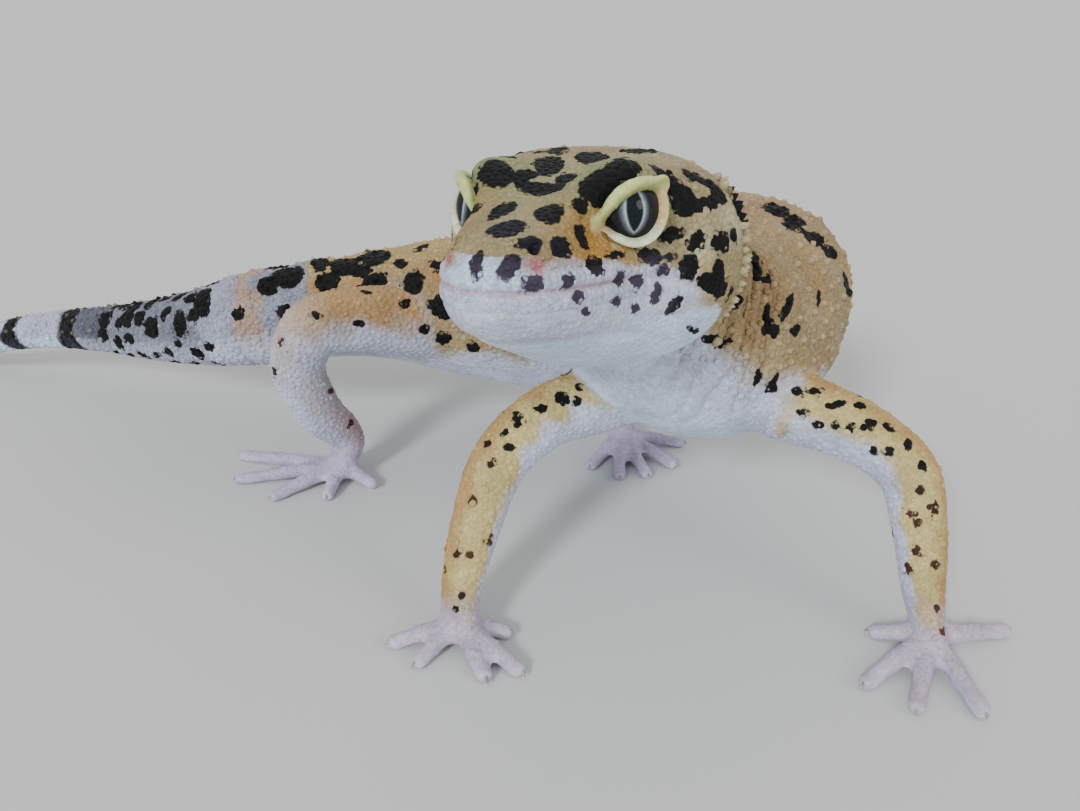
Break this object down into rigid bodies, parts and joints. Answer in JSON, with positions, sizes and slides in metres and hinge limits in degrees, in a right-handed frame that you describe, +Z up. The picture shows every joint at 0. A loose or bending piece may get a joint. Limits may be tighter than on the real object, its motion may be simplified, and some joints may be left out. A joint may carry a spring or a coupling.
{
  "type": "leopard gecko",
  "caption": "Adult leopard gecko standing on its feet, head raised and turned to one side, body bent round and tail laid back; a still life-size model.",
  "frame": {"origin": "under the middle of the whole animal's box, on the level that it stands on", "axes": "+X towards the animal's left side as its head looks out (the tail lies towards -X), +Y away from its face, +Z up"},
  "size_m": [0.1756, 0.0992, 0.0511],
  "materials": {
    "head_skin": "dry granular scales, tan with dark spots",
    "jaw_skin": "smooth white lips, chin and throat",
    "trunk_skin": "dry granular scales with raised tubercles, orange tan with black marks above and white below",
    "tail_skin": "ringed scales, pale lavender with black bands",
    "limb_skin": "fine scales, yellow tan with small black spots",
    "foot_skin": "fine pink-lavender scales",
    "eye": "wet and glossy, silver-grey iris with an upright slit pupil"
  },
  "bodies": {
    "root": {"belly": "trunk_skin", "chest": "trunk_skin", "eye_left": "eye", "eye_right": "eye", "head": "head_skin", "jaw": "jaw_skin", "left_foot": "foot_skin", "left_forearm": "limb_skin", "left_hand": "foot_skin", "left_shank": "limb_skin", "left_thigh": "limb_skin", "left_upper_arm": "limb_skin", "neck": "head_skin", "pelvis": "trunk_skin", "right_foot": "foot_skin", "right_forearm": "limb_skin", "right_hand": "foot_skin", "right_shank": "limb_skin", "right_thigh": "limb_skin", "right_upper_arm": "limb_skin", "tail_base": "tail_skin", "tail_middle": "tail_skin", "tail_tip": "tail_skin"}
  },
  "joints": []
}
